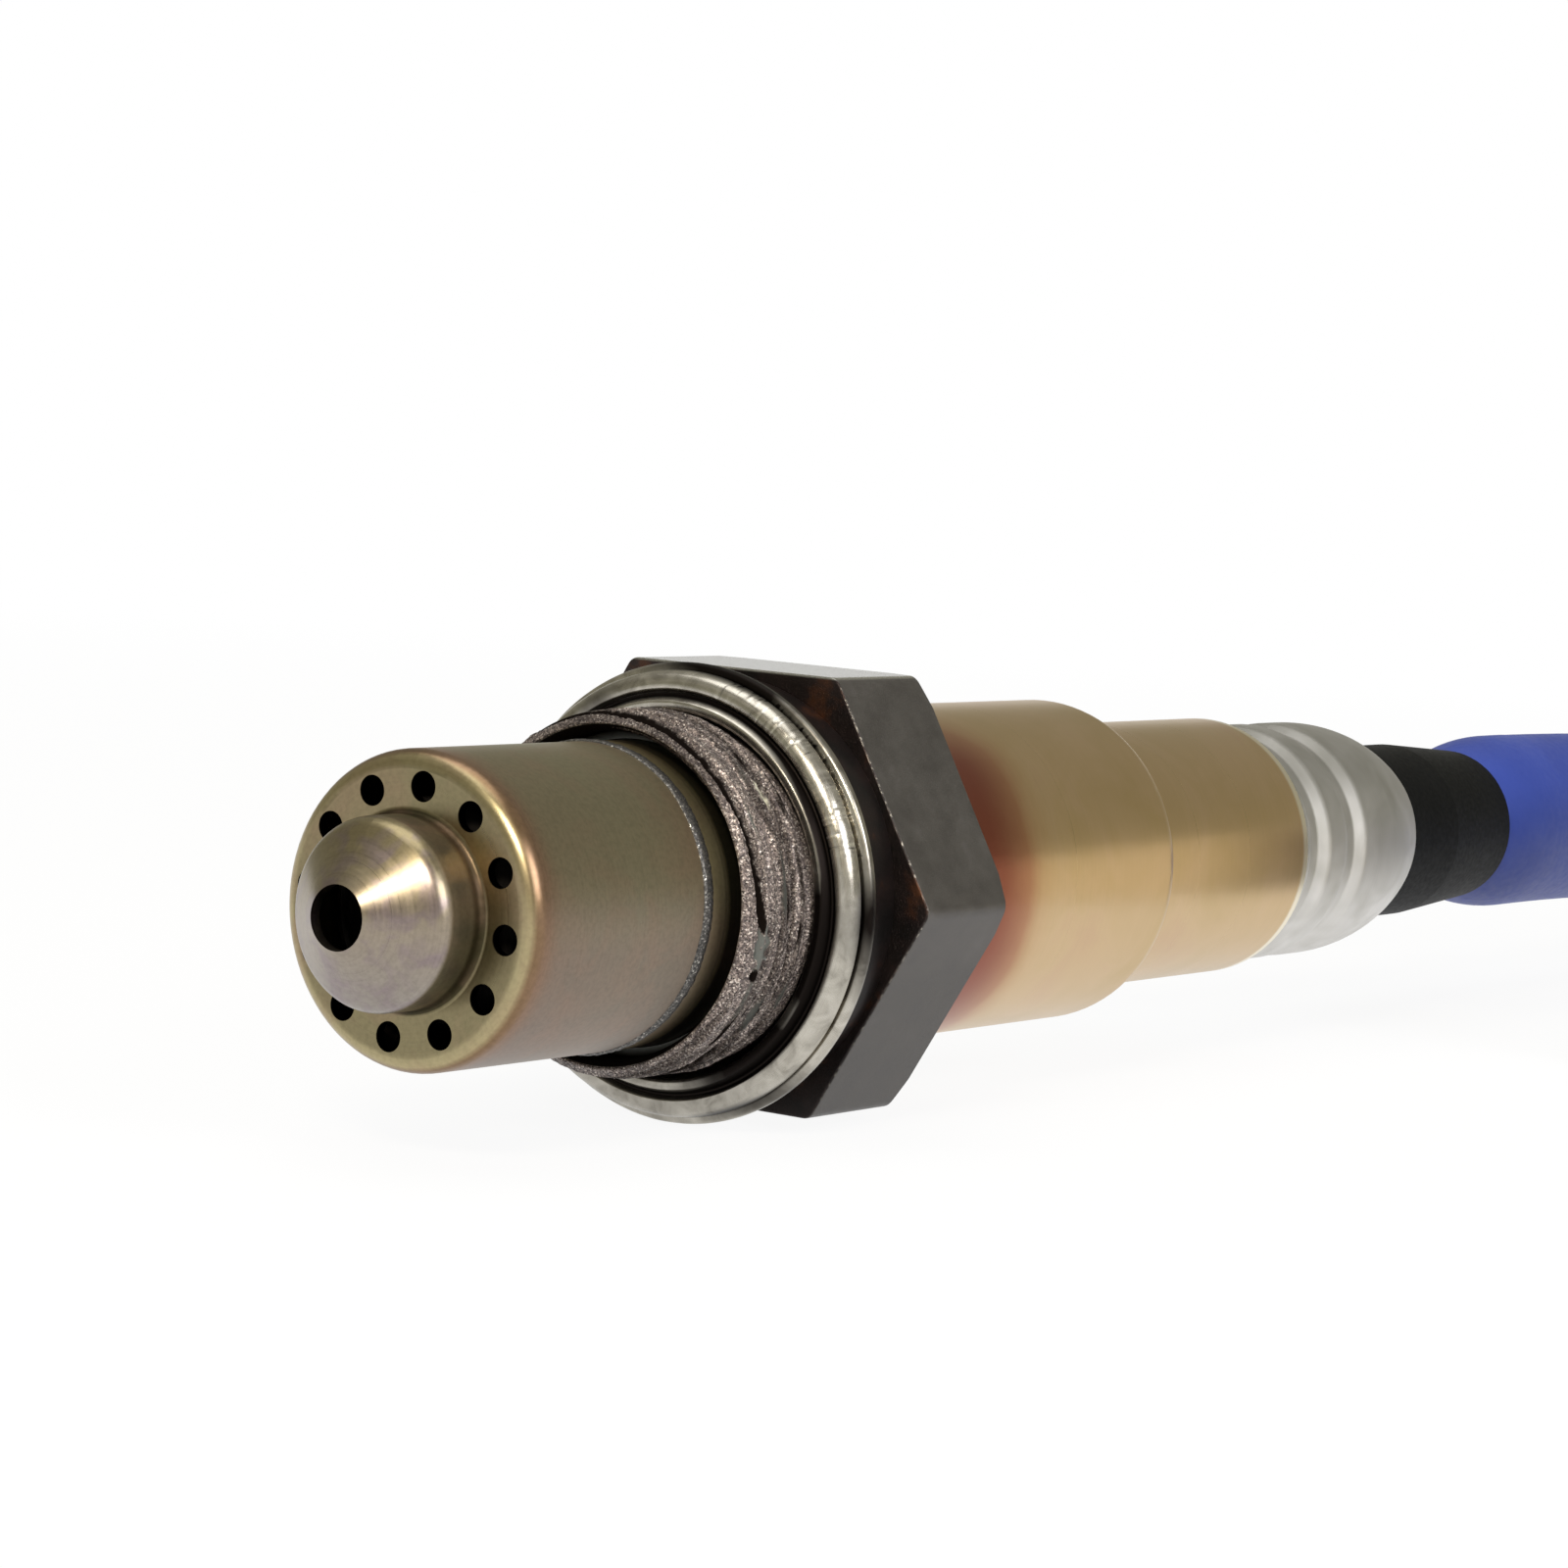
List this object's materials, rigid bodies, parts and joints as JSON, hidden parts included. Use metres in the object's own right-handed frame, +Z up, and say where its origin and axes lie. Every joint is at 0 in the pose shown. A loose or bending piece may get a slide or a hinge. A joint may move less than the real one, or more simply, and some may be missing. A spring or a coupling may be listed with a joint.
{
  "type": "oxygen sensor",
  "caption": "Exhaust oxygen sensor with a perforated stepped tip, threaded hexagon body, folded gasket, stepped sleeves, and a blue sheathed lead that ends in a plug.",
  "frame": {"origin": "on the sensor's axis, in the plane where the thread ends and the gasket begins", "axes": "+X along the axis from the tip to the lead, +Z up, square to the hexagon's upper flat"},
  "size_m": [0.2302, 0.1547, 0.023],
  "materials": {
    "tube_steel": "satin drawn steel, tinted olive brown by heat",
    "inner_steel": "plain drawn steel",
    "body_steel": "dark turned steel, matte",
    "gasket_steel": "bright folded steel with fine scratches",
    "zirconia": "fired, matte",
    "steatite": "fired, matte",
    "talc": "pressed powder",
    "tempered_sleeve": "satin drawn steel, tempered to gold",
    "bright_sleeve": "satin drawn steel",
    "contact_metal": "rolled spring strip",
    "wire_black": "extruded",
    "wire_red": "extruded",
    "wire_yellow": "extruded",
    "wire_white": "extruded",
    "wire_grey": "extruded",
    "black_rubber": "moulded, matte",
    "blue_silicone": "smooth, satin",
    "plug_plastic": "moulded",
    "seal_rubber": "moulded",
    "carrier_plastic": "moulded",
    "slide_plastic": "moulded",
    "pin_metal": "tinned"
  },
  "bodies": {
    "root": {"outer_protection_tube": "tube_steel", "inner_protection_tube": "inner_steel", "sensor_body": "body_steel", "gasket_ring": "gasket_steel", "sensing_element": "zirconia", "front_ceramic_bush": "steatite", "talc_seal": "talc", "rear_ceramic_bush": "steatite", "clamp_ring": "inner_steel", "protective_sleeve": "tempered_sleeve", "crimp_sleeve": "bright_sleeve", "contact_holder_upper": "steatite", "contact_holder_lower": "steatite", "holder_spring": "inner_steel", "cable_grommet": "black_rubber", "hose": "blue_silicone", "plug_housing": "plug_plastic", "plug_rear_cap": "plug_plastic", "wire_seal": "seal_rubber", "pin_carrier": "carrier_plastic", "plug_leads": "wire_white", "trim_resistor": "steatite", "lock_slide": "slide_plastic", "contact_1": "contact_metal", "contact_2": "contact_metal", "contact_3": "contact_metal", "contact_4": "contact_metal", "contact_5": "contact_metal", "wire_1": "wire_black", "wire_2": "wire_red", "wire_3": "wire_yellow", "wire_4": "wire_white", "wire_5": "wire_grey", "plug_pin_1": "pin_metal", "plug_pin_2": "pin_metal", "plug_pin_3": "pin_metal", "plug_pin_4": "pin_metal", "plug_pin_5": "pin_metal", "plug_pin_6": "pin_metal"}
  },
  "joints": []
}
